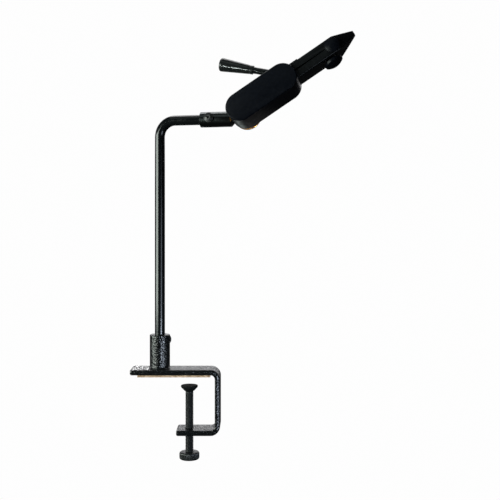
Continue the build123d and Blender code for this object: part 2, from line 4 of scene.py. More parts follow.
import bmesh
import bpy
import numpy as np
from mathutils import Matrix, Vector


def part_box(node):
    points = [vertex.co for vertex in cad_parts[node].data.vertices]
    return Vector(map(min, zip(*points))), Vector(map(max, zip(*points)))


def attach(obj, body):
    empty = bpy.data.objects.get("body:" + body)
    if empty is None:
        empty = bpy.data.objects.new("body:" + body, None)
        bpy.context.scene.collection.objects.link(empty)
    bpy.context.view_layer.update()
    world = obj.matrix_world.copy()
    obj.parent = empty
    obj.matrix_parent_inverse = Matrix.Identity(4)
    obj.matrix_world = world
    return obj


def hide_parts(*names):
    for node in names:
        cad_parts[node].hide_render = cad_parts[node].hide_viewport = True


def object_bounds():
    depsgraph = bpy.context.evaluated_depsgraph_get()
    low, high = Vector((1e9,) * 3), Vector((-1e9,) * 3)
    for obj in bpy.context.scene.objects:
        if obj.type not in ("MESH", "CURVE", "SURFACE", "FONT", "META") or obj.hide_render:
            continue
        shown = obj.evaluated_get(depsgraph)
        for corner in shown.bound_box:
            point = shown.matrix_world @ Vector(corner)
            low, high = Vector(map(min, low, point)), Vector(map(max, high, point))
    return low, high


# Fly-tying vise on a table clamp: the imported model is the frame, in metres, +Z up along the stem.
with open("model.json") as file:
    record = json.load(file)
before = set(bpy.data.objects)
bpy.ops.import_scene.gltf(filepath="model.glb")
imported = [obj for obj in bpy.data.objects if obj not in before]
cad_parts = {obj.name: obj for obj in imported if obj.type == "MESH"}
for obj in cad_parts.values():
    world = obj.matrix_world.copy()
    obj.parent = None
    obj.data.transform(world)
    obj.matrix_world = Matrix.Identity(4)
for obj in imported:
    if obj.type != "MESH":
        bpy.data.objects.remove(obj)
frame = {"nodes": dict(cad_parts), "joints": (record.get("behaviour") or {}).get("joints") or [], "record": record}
cad_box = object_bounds()

# Clamp frame: a flat steel bar, 25 mm wide, bent into a C with a plate, a spine and a lower arm.
# It is painted with a black hammered coat, and its lower arm is drilled and tapped for the screw.
MM = 0.001
sharp_angle = radians(40)
merge_reach = 1e-7
joints = {joint["name"]: joint for joint in frame["joints"]}
bodies = frame["record"]["behaviour"]["bodies"]
body_of = {node: body for body, nodes in bodies.items() for node in nodes}


def unit(vector):
    """A vector divided by its own length."""
    vector = np.asarray(vector, float)
    return vector / np.linalg.norm(vector)


def show(name, mesh):
    """Puts a mesh into the scene as a piece at the origin, smooth but for its sharp edges."""
    mesh.shade_smooth()
    mesh.set_sharp_from_angle(angle=sharp_angle)
    piece = bpy.data.objects.new(name, mesh)
    bpy.context.scene.collection.objects.link(piece)
    return piece


def lay_skin(name, grid, closed_rows=False):
    """Quads over a grid of points (rows, columns, 3) whose columns close into rings.

    The rows close too if asked. The sum of corner . (next x opposite) over the quads is six times
    the volume, and where it is negative the quads are turned round. A row of equal points is a pole.
    """
    rows, columns = grid.shape[:2]
    index = np.arange(rows * columns).reshape(rows, columns)
    here = index if closed_rows else index[:-1]
    there = np.roll(index, -1, axis=0) if closed_rows else index[1:]
    quads = np.stack([here, np.roll(here, -1, 1), np.roll(there, -1, 1), there], -1).reshape(-1, 4)
    points = grid.reshape(-1, 3)
    a, b, c, d = points[quads].transpose(1, 0, 2)
    if np.sum(a * np.cross(b, c)) + np.sum(a * np.cross(c, d)) < 0:
        quads = quads[:, ::-1]
    mesh = bpy.data.meshes.new(name)
    mesh.from_pydata(points.tolist(), [], quads.tolist())
    shape = bmesh.new()
    shape.from_mesh(mesh)
    bmesh.ops.remove_doubles(shape, verts=shape.verts, dist=merge_reach)
    shape.to_mesh(mesh)
    shape.free()
    return show(name, mesh)


def rounded_box_ring(half_wide, half_high, corner, steps=6):
    """The ring of a rounded rectangle: a quarter arc about each corner's centre, turned four times."""
    angle = np.linspace(0, np.pi / 2, steps)
    turns = np.arange(4)[:, None] * np.pi / 2
    side = np.sign(np.cos(turns + np.pi / 4))
    level = np.sign(np.sin(turns + np.pi / 4))
    wide = side * (half_wide - corner) + corner * np.cos(angle + turns)
    high = level * (half_high - corner) + corner * np.sin(angle + turns)
    return np.stack([wide.ravel(), high.ravel()], axis=1)


def dress(piece, node, finish):
    """The piece stands for a CAD node: it rides on the node's body and takes a finish."""
    piece.data.materials.clear()
    piece.data.materials.append(finish)
    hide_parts(node)
    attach(piece, body_of[node])
    return piece


def add_node(tree, kind, settings=None, **sockets):
    """A shader node with its settings.

    Each socket, named with _ for a space, takes a value or another node's output.
    """
    node = tree.nodes.new("ShaderNode" + kind)
    for name, value in (settings or {}).items():
        setattr(node, name, value)
    for name, value in sockets.items():
        matches = [s for s in node.inputs if s.name == name.replace("_", " ") and s.enabled]
        if isinstance(value, bpy.types.NodeSocket):
            tree.links.new(value, matches[0])
        else:
            matches[0].default_value = value
    return node


def new_group(name, inputs, outputs):
    """A shader node group with float inputs and their defaults, and float outputs."""
    group = bpy.data.node_groups.new(name, "ShaderNodeTree")
    for label, value in inputs.items():
        socket = group.interface.new_socket(label, in_out="INPUT", socket_type="NodeSocketFloat")
        socket.default_value = value
    for label in outputs:
        group.interface.new_socket(label, in_out="OUTPUT", socket_type="NodeSocketFloat")
    return group, group.nodes.new("NodeGroupInput").outputs, group.nodes.new("NodeGroupOutput").inputs


def new_finish(name, **sockets):
    """A material with one Principled BSDF, whose plain sockets are set by name."""
    finish = bpy.data.materials.new(name)
    finish.use_nodes = True
    tree = finish.node_tree
    tree.nodes.clear()
    shader = add_node(tree, "BsdfPrincipled", **sockets)
    output = tree.nodes.new("ShaderNodeOutputMaterial")
    tree.links.new(shader.outputs["BSDF"], output.inputs["Surface"])
    return finish, tree, shader


def object_place(tree):
    """The place on the surface, in the object's own metres."""
    return tree.nodes.new("ShaderNodeTexCoord").outputs["Object"]


def place_group(tree, group, **sockets):
    """Puts a node group into a material with its own values."""
    node = tree.nodes.new("ShaderNodeGroup")
    node.node_tree = group
    for name, value in sockets.items():
        node.inputs[name].default_value = value
    return node.outputs


def mix_colour(tree, factor, first, second):
    """Two colours mixed by a factor; each is three numbers or another node's output."""
    mix = tree.nodes.new("ShaderNodeMix")
    mix.data_type = "RGBA"
    tree.links.new(factor, mix.inputs[0])
    for socket, colour in zip(mix.inputs[6:8], (first, second)):
        if isinstance(colour, bpy.types.NodeSocket):
            tree.links.new(colour, socket)
        else:
            socket.default_value = (*colour, 1.0)
    return mix.outputs[2]


def ramp(tree, value, low, high, first=0.0, second=1.0, shape="LINEAR"):
    """Goes from first to second while the value goes from low to high."""
    span = add_node(tree, "MapRange", {"interpolation_type": shape}, Value=value, From_Min=low,
                    From_Max=high, To_Min=first, To_Max=second)
    return span.outputs["Result"]


def mix_value(tree, factor, first, second):
    """Two numbers mixed by a factor between 0 and 1."""
    return ramp(tree, factor, 0.0, 1.0, first, second)


def add_bump(tree, shader, height, distance, strength):
    """A Bump node from a height to the shader's Normal."""
    bump = add_node(tree, "Bump", Height=height, Distance=distance, Strength=strength)
    tree.links.new(bump.outputs["Normal"], shader.inputs["Normal"])


def make_hammered_skin():
    """Hammered paint: round dimples between smooth ridges, from the distance to scattered points."""
    group, given, result = new_group("hammered_skin", {"Scale": 780.0}, ["Height", "Fleck"])
    place = object_place(group)
    drift = add_node(group, "TexNoise", Vector=place, Scale=420.0, Detail=2.0)
    bend = add_node(group, "VectorMath", {"operation": "MULTIPLY_ADD"})
    group.links.new(drift.outputs["Color"], bend.inputs[0])
    bend.inputs[1].default_value = (MM, MM, MM)
    group.links.new(place, bend.inputs[2])
    cells = add_node(group, "TexVoronoi", {"feature": "SMOOTH_F1"}, Vector=bend.outputs["Vector"],
                     Scale=given["Scale"], Smoothness=0.55)
    ripple = add_node(group, "TexNoise", Vector=place, Scale=2000.0, Detail=2.0)
    height = add_node(group, "Math", {"operation": "MULTIPLY_ADD"})
    group.links.new(ripple.outputs["Fac"], height.inputs[0])
    height.inputs[1].default_value = 0.25
    group.links.new(cells.outputs["Distance"], height.inputs[2])
    group.links.new(height.outputs["Value"], result["Height"])
    group.links.new(ramp(group, cells.outputs["Distance"], 0.35, 0.75), result["Fleck"])
    return group


def make_hammered_coat():
    """Thick glossy black paint, pooled into dimples, a little paler on the ridges."""
    finish, tree, shader = new_finish("hammered_black_paint", Specular_IOR_Level=0.55)
    skin = place_group(tree, hammered_skin)
    colour = mix_colour(tree, skin["Fleck"], (0.003, 0.0035, 0.0035), (0.009, 0.010, 0.0105))
    tree.links.new(colour, shader.inputs["Base Color"])
    tree.links.new(mix_value(tree, skin["Fleck"], 0.13, 0.24), shader.inputs["Roughness"])
    add_bump(tree, shader, skin["Height"], 0.5 * MM, 0.62)
    return finish


hammered_skin = make_hammered_skin()
hammered_coat = make_hammered_coat()

frame_low, frame_high = (np.array(corner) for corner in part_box("clamp_frame"))
cork_low, cork_high = (np.array(corner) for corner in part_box("cork_pad"))
bar_thick = frame_high[2] - cork_high[2]
lower_arm_length = 41.2 * MM
bend_outside = 9.0 * MM
bend_middle = bend_outside - bar_thick / 2
bar_edge = 0.8 * MM
spine_edge = 3.0 * MM
plan_corner = 1.5 * MM


def make_clamp_bar():
    """A rounded rectangle carried along the C: straight, quarter arc, straight, quarter arc, straight.

    Near both ends the section narrows as R - sqrt(R^2 - (R - d)^2), so the corners are round, and
    a last ring on the middle of the end face closes it. The outer edge in front grows rounder
    with the fourth power of the path's slope, so it is roundest on the spine.
    """
    half_thick = bar_thick / 2
    top = frame_high[2] - half_thick
    bottom = frame_low[2] + half_thick
    spine = frame_high[0] - half_thick
    turn = np.linspace(0, np.pi / 2, 15)
    near_end = np.array([0, 0.04, 0.15, 0.35, 0.65, 1.0, 1.4]) * plan_corner
    upper_arc = np.stack([spine - bend_middle + bend_middle * np.sin(turn),
                          top - bend_middle + bend_middle * np.cos(turn)], 1)
    lower_arc = np.stack([spine - bend_middle + bend_middle * np.cos(turn),
                          bottom + bend_middle - bend_middle * np.sin(turn)], 1)
    plate = np.stack([frame_low[0] + near_end, np.full(len(near_end), top)], 1)
    arm_end = frame_high[0] - lower_arm_length
    arm = np.stack([arm_end + near_end[::-1], np.full(len(near_end), bottom)], 1)
    path = np.concatenate([plate, upper_arc, lower_arc, arm])
    heading = np.gradient(path, axis=0)
    heading[:len(near_end)] = (1, 0)
    heading[-len(near_end):] = (-1, 0)
    heading /= np.linalg.norm(heading, axis=1, keepdims=True)
    across = np.stack([-heading[:, 1], heading[:, 0]], 1)
    inset = np.zeros(len(path))
    depth = np.clip(plan_corner - near_end, 0, None)
    inset[:len(near_end)] = plan_corner - np.sqrt(plan_corner ** 2 - depth ** 2)
    inset[-len(near_end):] = inset[:len(near_end)][::-1]
    rings = np.stack([rounded_box_ring(frame_high[1] - cut, half_thick - min(cut, bar_edge), bar_edge)
                      for cut in inset])
    quarter = rings.shape[1] // 4
    outer_edge = bar_edge + (spine_edge - bar_edge) * heading[:, 1:] ** 4
    angle = np.linspace(np.pi / 2, np.pi, quarter)
    steep = heading[:, 1] != 0
    corner = outer_edge[steep]
    rings[steep, quarter:2 * quarter, 0] = corner - frame_high[1] + corner * np.cos(angle)
    rings[steep, quarter:2 * quarter, 1] = half_thick - corner + corner * np.sin(angle)
    grid = np.empty((len(path), rings.shape[1], 3))
    grid[..., 0] = path[:, None, 0] + rings[..., 1] * across[:, None, 0]
    grid[..., 1] = rings[..., 0]
    grid[..., 2] = path[:, None, 1] + rings[..., 1] * across[:, None, 1]
    ends = grid[[0, -1]].mean(axis=1, keepdims=True)
    first = np.broadcast_to(ends[0], grid[:1].shape)
    last = np.broadcast_to(ends[1], grid[:1].shape)
    return lay_skin("clamp_bar", np.concatenate([first, grid, last]))


clamp_bar = dress(make_clamp_bar(), "clamp_frame", hammered_coat)


def ring_angles(columns):
    """Equal steps round a full turn."""
    return np.arange(columns) * 2 * np.pi / columns


def turned_skin(name, radius, along, origin, axis, closed_rows=False):
    """Rings about an axis: origin + along * axis + radius * (cos a * side + sin a * other).

    The radius is an array of rows and columns, so that a ring may be knurled, threaded or hexagonal.
    """
    nearly_upright = 0.9
    axis = unit(axis)
    guide = (0, 0, 1) if abs(axis[2]) < nearly_upright else (1, 0, 0)
    side = unit(np.cross(axis, guide))
    other = np.cross(axis, side)
    angle = ring_angles(radius.shape[1])
    out = np.cos(angle)[:, None] * side + np.sin(angle)[:, None] * other
    along = np.broadcast_to(along, radius.shape)
    grid = np.asarray(origin, float) + along[..., None] * axis + radius[..., None] * out
    return lay_skin(name, grid, closed_rows)


def turned_profile(name, profile, origin, axis, columns=72, closed_rows=False):
    """A plain turned piece from a half profile of (radius, along) points."""
    profile = np.asarray(profile, float)
    radius = np.repeat(profile[:, :1], columns, axis=1)
    return turned_skin(name, radius, profile[:, 1:], origin, axis, closed_rows)


def drill(piece, cutter):
    """Takes a cutter's volume out of a piece for good and deletes the cutter."""
    cut = piece.modifiers.new("drill", "BOOLEAN")
    cut.operation = "DIFFERENCE"
    cut.solver = "EXACT"
    cut.object = cutter
    ready = piece.evaluated_get(bpy.context.evaluated_depsgraph_get())
    mesh = bpy.data.meshes.new_from_object(ready)
    piece.modifiers.clear()
    piece.data = mesh
    mesh.set_sharp_from_angle(angle=sharp_angle)
    bpy.data.objects.remove(cutter)


up = np.array([0.0, 0.0, 1.0])
screw_axis = np.array(joints["clamp_screw_turn"]["pos_m"]) * (1, 1, 0)
tapped_radius = 4.0 * MM
tapped_chamfer = 0.6 * MM
arm_under = frame_low[2]
arm_over = frame_low[2] + bar_thick
tapped_hole = turned_profile("tapped_hole", [
    (0, arm_under - MM), (tapped_radius + tapped_chamfer + MM, arm_under - MM),
    (tapped_radius, arm_under + tapped_chamfer), (tapped_radius, arm_over - tapped_chamfer),
    (tapped_radius + tapped_chamfer + MM, arm_over + MM), (0, arm_over + MM)], screw_axis, up)
drill(clamp_bar, tapped_hole)

# Stem socket: a piece of 19 mm round bar, bored for the stem and welded upright on the plate.
# It has the clamp's hammered coat, which also covers the weld bead round its foot.
socket_radius = 19.05 / 2 * MM
stem_radius = 9.525 / 2 * MM
bore_room = 0.05 * MM
socket_chamfer = 0.6 * MM
bead_ripples = 40
bead_swell = 0.07 * MM


def measure(node, origin, axis):
    """A node's lowest and highest reach along an axis, and its largest radius about that axis."""
    mesh = frame["nodes"][node].data
    points = np.empty(len(mesh.vertices) * 3)
    mesh.vertices.foreach_get("co", points)
    offset = points.reshape(-1, 3) - np.asarray(origin, float)
    along = offset @ unit(axis)
    radius = np.linalg.norm(offset - along[:, None] * unit(axis), axis=1)
    return along.min(), along.max(), radius.max()


def round_corners(points, radius, steps=5):
    """An open outline whose inner corners are parabolas (1-t)^2 A + 2t(1-t) corner + t^2 B.

    A and B lie a radius before and after the corner, or less beside a short side, and one more
    point stands outside each of them, so that the flats between the corners are shaded flat.
    """
    most_of_side = 0.38
    outside_reach = 1.25
    points = np.asarray(points, float)
    corner = points[1:-1]
    back = points[:-2] - corner
    ahead = points[2:] - corner
    back_length = np.linalg.norm(back, axis=1, keepdims=True)
    ahead_length = np.linalg.norm(ahead, axis=1, keepdims=True)
    radius = np.broadcast_to(np.asarray(radius, float).reshape(-1, 1), back_length.shape)
    reach = np.minimum(radius, most_of_side * np.minimum(back_length, ahead_length))
    back_step = back / back_length * reach
    ahead_step = ahead / ahead_length * reach
    start = corner + back_step
    end = corner + ahead_step
    t = np.linspace(0, 1, steps)[None, :, None]
    arcs = (1 - t) ** 2 * start[:, None] + 2 * t * (1 - t) * corner[:, None] + t ** 2 * end[:, None]
    before = corner + back_step * outside_reach
    after = corner + ahead_step * outside_reach
    arcs = np.concatenate([before[:, None], arcs, after[:, None]], axis=1)
    return np.concatenate([points[:1], arcs.reshape(-1, 2), points[-1:]])


socket_low, socket_high, socket_reach = measure("stem_socket", (0, 0, 0), up)
bead_leg = socket_reach - socket_radius


def make_stem_socket():
    """A closed half profile turned about the stem's axis; the weld bead ripples round the foot."""
    bore = stem_radius + bore_room
    outline = [(bore, socket_low), (socket_reach, socket_low), (socket_radius, socket_low + bead_leg),
               (socket_radius, socket_high), (bore, socket_high), (bore, socket_low)]
    corners = [0.3 * MM, 0.9 * MM, socket_chamfer, socket_chamfer]
    profile = round_corners(outline, corners)[:-1]
    ripple = np.cos(ring_angles(4 * bead_ripples) * bead_ripples)
    on_bead = np.clip((profile[:, :1] - socket_radius) / bead_leg, 0, 1)
    radius = profile[:, :1] + bead_swell * on_bead * (ripple - 1)
    return turned_skin("stem_socket_tube", radius, profile[:, 1:], (0, 0, 0), up, closed_rows=True)


dress(make_stem_socket(), "stem_socket", hammered_coat)

# Cork pad: a strip of pressed cork glued under the plate, so that the clamp doesn't mark the table.
# Its cut edges are a little uneven, and its granules show.
cork_edge = 0.25 * MM
cork_waver = 0.1 * MM
slow_wave = 31
quick_wave = 73


def make_cork_finish():
    """Pressed cork: granules of several tans with dark grains between them."""
    finish, tree, shader = new_finish("pressed_cork", Roughness=0.85)
    place = object_place(tree)
    granules = add_node(tree, "TexVoronoi", Vector=place, Scale=520.0, Randomness=1.0)
    tone = add_node(tree, "SeparateColor", Color=granules.outputs["Color"])
    tan = mix_colour(tree, tone.outputs["Red"], (0.37, 0.23, 0.13), (0.69, 0.48, 0.32))
    grain = add_node(tree, "TexNoise", Vector=place, Scale=1400.0, Detail=5.0)
    dark = ramp(tree, grain.outputs["Fac"], 0.60, 0.72)
    tree.links.new(mix_colour(tree, dark, tan, (0.16, 0.09, 0.05)), shader.inputs["Base Color"])
    add_bump(tree, shader, granules.outputs["Distance"], 0.3 * MM, 0.6)
    return finish


def make_cork_strip():
    """A rounded rectangle carried along X; two sine waves of the length move its side edges."""
    near_end = np.array([0, 0.3 * cork_edge])
    span = np.linspace(cork_low[0] + cork_edge, cork_high[0] - cork_edge, 60)
    along = np.concatenate([cork_low[0] + near_end, span, cork_high[0] - near_end[::-1]])
    inset = np.zeros(len(along))
    inset[:2] = (cork_edge, 0.3 * cork_edge)
    inset[-2:] = inset[1::-1]
    share = along / (cork_high[0] - cork_low[0])
    wave = np.sin(share * slow_wave) + np.sin(share * quick_wave + 1)
    side = cork_high[1] - cork_waver * (1 + wave / 2)
    middle = (cork_low[2] + cork_high[2]) / 2
    half_high = (cork_high[2] - cork_low[2]) / 2
    rings = np.stack([rounded_box_ring(half - cut, half_high - cut, cork_edge)
                      for half, cut in zip(side, inset)])
    grid = np.empty((len(along), rings.shape[1], 3))
    grid[..., 0] = along[:, None]
    grid[..., 1] = rings[..., 0]
    grid[..., 2] = middle + rings[..., 1]
    ends = grid.mean(axis=1, keepdims=True)
    first = np.broadcast_to(ends[0], grid[:1].shape)
    last = np.broadcast_to(ends[-1], grid[:1].shape)
    return lay_skin("cork_strip", np.concatenate([first, grid, last]))


dress(make_cork_strip(), "cork_pad", make_cork_finish())

# Clamp screw: a blackened steel rod with a rolled thread of 18 turns to the inch, and a ball on top.
# The ball turns in the swivel pad, and the lower end is pressed into the knob.
screw_low, screw_high, screw_radius = measure("clamp_screw", screw_axis, up)
thread_pitch = 25.4 / 18 * MM
thread_depth = 0.55 * MM
rings_per_pitch = 10
ball_radius = 3.0 * MM
ball_neck = 2.0 * MM
ball_middle = screw_high - ball_radius
screw_lead_in = 0.6 * MM
pad_low, pad_high, pad_radius = measure("swivel_pad", screw_axis, up)
shank_gap = 0.5 * MM
shank_top = pad_low - shank_gap


def multiply(tree, first, second):
    """The product of two nodes' outputs."""
    product = add_node(tree, "Math", {"operation": "MULTIPLY"})
    tree.links.new(first, product.inputs[0])
    tree.links.new(second, product.inputs[1])
    return product.outputs["Value"]


def make_edge_wear_and_highlight():
    """Edge mask, for metal rubbed through its coat and for painted highlight rings: 1 - rounded normal . true
    normal is large at edges, and noise breaks it up.
    """
    group, given, result = new_group("edge_wear_and_highlight", {"Radius": 0.5 * MM, "Scale": 900.0}, ["Mask"])
    rounded = add_node(group, "Bevel", {"samples": 6}, Radius=given["Radius"])
    true = group.nodes.new("ShaderNodeNewGeometry")
    match = add_node(group, "VectorMath", {"operation": "DOT_PRODUCT"})
    group.links.new(rounded.outputs["Normal"], match.inputs[0])
    group.links.new(true.outputs["Normal"], match.inputs[1])
    edge = ramp(group, match.outputs["Value"], 0.97, 0.80)
    noise = add_node(group, "TexNoise", Vector=object_place(group), Scale=given["Scale"], Detail=4.0)
    patch = ramp(group, noise.outputs["Fac"], 0.42, 0.68)
    group.links.new(multiply(group, edge, patch), result["Mask"])
    return group


def make_steel_grain():
    """Grain of blackened steel: a soft mottle of tone and a fine grit for the height."""
    group, given, result = new_group("steel_grain", {"Scale": 400.0}, ["Tone", "Height"])
    place = object_place(group)
    mottle = add_node(group, "TexNoise", Vector=place, Scale=given["Scale"], Detail=6.0, Roughness=0.6)
    group.links.new(ramp(group, mottle.outputs["Fac"], 0.32, 0.68), result["Tone"])
    grit = add_node(group, "TexNoise", Vector=place, Scale=4200.0, Detail=3.0)
    group.links.new(grit.outputs["Fac"], result["Height"])
    return group


def make_blackened_finish(name, dark, pale, edge_tone, rough, grit, edge_width=0.3 * MM, shine=0.5):
    """Black finish on metal: mottled black with another tone on its edges, which is metal rubbed through the coat,
    and on the lock screws mostly a painted highlight ring.
    """
    finish, tree, shader = new_finish(name, Specular_IOR_Level=shine)
    grain = place_group(tree, steel_grain, Scale=380.0)
    edge_mask = place_group(tree, edge_wear_and_highlight, Radius=edge_width, Scale=700.0)["Mask"]
    black = mix_colour(tree, grain["Tone"], dark, pale)
    roughness = mix_value(tree, grain["Tone"], rough - 0.05, rough + 0.07)
    tree.links.new(mix_colour(tree, edge_mask, black, edge_tone), shader.inputs["Base Color"])
    tree.links.new(roughness, shader.inputs["Roughness"])
    tree.links.new(mix_value(tree, edge_mask, 0.0, 0.8), shader.inputs["Metallic"])
    add_bump(tree, shader, grain["Height"], 0.04 * MM, grit)
    return finish


edge_wear_and_highlight = make_edge_wear_and_highlight()
steel_grain = make_steel_grain()
blackened_steel = make_blackened_finish(
    "blackened_steel", (0.009, 0.010, 0.010), (0.018, 0.019, 0.020), (0.10, 0.10, 0.10),
    rough=0.36, grit=0.5)


def make_clamp_screw():
    """Thread: radius - depth * |2 frac(along / pitch - turn) - 1|, faded out at both ends.

    The ball above is rings of radius sqrt(R^2 - h^2), from the neck's radius up to the pole.
    """
    columns = 40
    turn = ring_angles(columns) / (2 * np.pi)
    along = np.arange(screw_low, shank_top, thread_pitch / rings_per_pitch)
    from_end = np.minimum(along - screw_low, shank_top - along)
    fade = np.clip(from_end / thread_pitch, 0, 1)[:, None]
    tooth = np.abs(2 * ((along[:, None] / thread_pitch - turn) % 1) - 1)
    lead_in = screw_lead_in * np.clip(1 - from_end / screw_lead_in, 0, 1)[:, None]
    thread = screw_radius - lead_in - thread_depth * tooth * fade
    ball_angle = np.linspace(-np.arccos(ball_neck / ball_radius), np.pi / 2, 15)
    ball = ball_radius * np.cos(ball_angle)
    ball_along = ball_middle + ball_radius * np.sin(ball_angle)
    radius = np.concatenate([np.zeros((1, columns)), thread, np.full((1, columns), ball_neck),
                             np.repeat(ball[:, None], columns, axis=1)])
    levels = np.concatenate([[screw_low], along, [shank_top], ball_along])
    return turned_skin("clamp_screw_thread", radius, levels[:, None], screw_axis, up)


dress(make_clamp_screw(), "clamp_screw", blackened_steel)

# Swivel pad: a turned steel disc with a tapered foot, crimped round the screw's ball.
# Its flat top presses on the underside of the table.
pad_rim = 1.6 * MM
pad_foot = 4.5 * MM
ball_room = ball_radius + bore_room
pad_neck = 2.6 * MM


def make_swivel_pad():
    """The outside is a rounded outline; the socket inside is an arc of the ball's radius plus room."""
    outline = [(0, pad_high), (pad_radius, pad_high), (pad_radius, pad_high - pad_rim),
               (pad_foot, pad_low), (pad_neck, pad_low)]
    corners = [0.35 * MM, 0.5 * MM, 0.4 * MM]
    outside = round_corners(outline, corners)
    angle = np.linspace(-np.arccos(pad_neck / ball_room), np.pi / 2, 14)
    socket = np.stack([ball_room * np.cos(angle), ball_middle + ball_room * np.sin(angle)], 1)
    return turned_profile("swivel_pad_disc", np.concatenate([outside, socket]), screw_axis, up)


pad_black = make_blackened_finish(
    "rough_pad_black", (0.004, 0.0045, 0.0045), (0.008, 0.009, 0.009), (0.02, 0.02, 0.02),
    rough=0.75, grit=0.3, shine=0.1)
dress(make_swivel_pad(), "swivel_pad", pad_black)

# Clamp knob: a round steel knob with softened edges and a fine straight knurl on its rim.
# It is pressed on the screw's lower end and turned by hand.
knob_low, knob_high, knob_radius = measure("clamp_knob", screw_axis, up)
knob_round = 2.0 * MM
knob_teeth = 72
knurl_depth = 0.22 * MM
press_room = 0.02 * MM


def make_clamp_knob():
    """A disc with rounded edges and a blind bore for the screw.

    Its rim is cut by cosine teeth, which fade out where the radius shrinks.
    """
    bore = screw_radius + press_room
    outline = [(0, knob_low), (knob_radius, knob_low), (knob_radius, knob_high), (bore, knob_high),
               (bore, screw_low), (0, screw_low)]
    corners = [knob_round, knob_round, 0.4 * MM, 0.1 * MM]
    profile = round_corners(outline, corners, steps=8)
    on_rim = np.clip(1 - (knob_radius - profile[:, :1]) / (2 * knurl_depth), 0, 1)
    tooth = 0.5 - 0.5 * np.cos(ring_angles(5 * knob_teeth) * knob_teeth)
    radius = np.clip(profile[:, :1] - knurl_depth * on_rim * tooth, 0, None)
    return turned_skin("clamp_knob_disc", radius, profile[:, 1:], screw_axis, up)


dress(make_clamp_knob(), "clamp_knob", blackened_steel)

# Lock screws: two blackened button-head screws with hexagon sockets, for a 3 mm key.
# One holds the stem in the socket, the other holds the head swivel on the stem's arm.
button_edge = 0.9 * MM
lock_shank = 2.4 * MM
lock_key = 3.0 * MM
key_depth = 1.4 * MM
key_lip = 0.25 * MM
key_chamfer = 0.12 * MM
key_floor_share = 0.92
crown_share = 0.9
# The lock screws' edges take a near-white tone over a wide band: partly metal rubbed through the coat, mostly a
# painted highlight ring round the crown.
screw_steel_rubbed_edge_and_painted_ring = make_blackened_finish(
    "screw_steel_rubbed_edge_and_painted_ring", (0.010, 0.011, 0.011), (0.030, 0.031, 0.031), (0.95, 0.93, 0.90),
    rough=0.42, grit=0.5, edge_width=1.3 * MM)


def make_button_screw(name, node, place, shank, key_across, edge):
    """Shank, straight edge and domed crown, then a hexagon of radius a / cos(angle to the flat).

    The crown is edge + rise * (1 - (r / R)^2), and the rings next to the socket go from round to
    hexagonal by a mix of both radii.
    """
    origin = place["pos_m"]
    low, high, rim = measure(node, origin, place["axis"])
    columns = 96
    angle = ring_angles(columns)
    hexagon = key_across / 2 / np.cos((angle + np.pi / 6) % (np.pi / 3) - np.pi / 6)
    crown_start = crown_share * rim
    start_level = edge + (high - edge) * (1 - (crown_start / rim) ** 2)
    outline = [(0, low), (shank, low), (shank, 0), (rim, 0), (rim, edge), (crown_start, start_level)]
    corners = [0.5 * MM, 0.1 * MM, 0.15 * MM, 0.3 * MM]
    body = round_corners(outline, corners)
    share = np.linspace(0, 1, 9)[1:, None]
    crown = crown_start * (1 - share) + (hexagon + key_lip) * share
    crown_level = edge + (high - edge) * (1 - (crown / rim) ** 2)
    lip_level = crown_level[-1:] - key_chamfer
    wall = np.repeat(hexagon[None], 3, axis=0)
    floor = high - key_depth
    wall_level = np.concatenate([lip_level, np.full((2, columns), floor)])
    wall[2] *= key_floor_share
    radius = np.concatenate([np.repeat(body[:, :1], columns, 1), crown, wall, np.zeros((1, columns))])
    level = np.concatenate([np.repeat(body[:, 1:], columns, 1), crown_level, wall_level,
                            np.full((1, columns), floor)])
    return turned_skin(name, radius, level, origin, place["axis"])


for holder in ("socket", "swivel"):
    lock_screw = make_button_screw(holder + "_button_screw", holder + "_lock_screw",
                                   joints[holder + "_lock_turn"], lock_shank, lock_key, button_edge)
    dress(lock_screw, holder + "_lock_screw", screw_steel_rubbed_edge_and_painted_ring)

# Stem: one 3/8 inch round bar, bent cold to a right angle, with a smooth gloss black coat.
# Its foot stands in the socket, and its level arm carries the head swivel.
arm_axis = np.array(joints["swivel_roll"]["axis"])
arm_origin = np.array([0, 0, joints["swivel_roll"]["pos_m"][2]])
arm_length = measure("stem", arm_origin, arm_axis)[1]
stem_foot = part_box("stem")[0][2]
stem_bend = 15.0 * MM
stem_chamfer = 0.6 * MM
past_chamfer = 1.3 * stem_chamfer


def make_gloss_coat():
    """Gloss black enamel with a faint orange peel and a few hazy patches."""
    finish, tree, shader = new_finish("gloss_black_enamel", Specular_IOR_Level=0.5)
    grain = place_group(tree, steel_grain, Scale=120.0)
    colour = mix_colour(tree, grain["Tone"], (0.0040, 0.0050, 0.0056), (0.0068, 0.0080, 0.0090))
    tree.links.new(colour, shader.inputs["Base Color"])
    tree.links.new(mix_value(tree, grain["Tone"], 0.13, 0.20), shader.inputs["Roughness"])
    peel = add_node(tree, "TexNoise", Vector=object_place(tree), Scale=900.0, Detail=2.0)
    add_bump(tree, shader, peel.outputs["Fac"], 0.04 * MM, 0.15)
    return finish


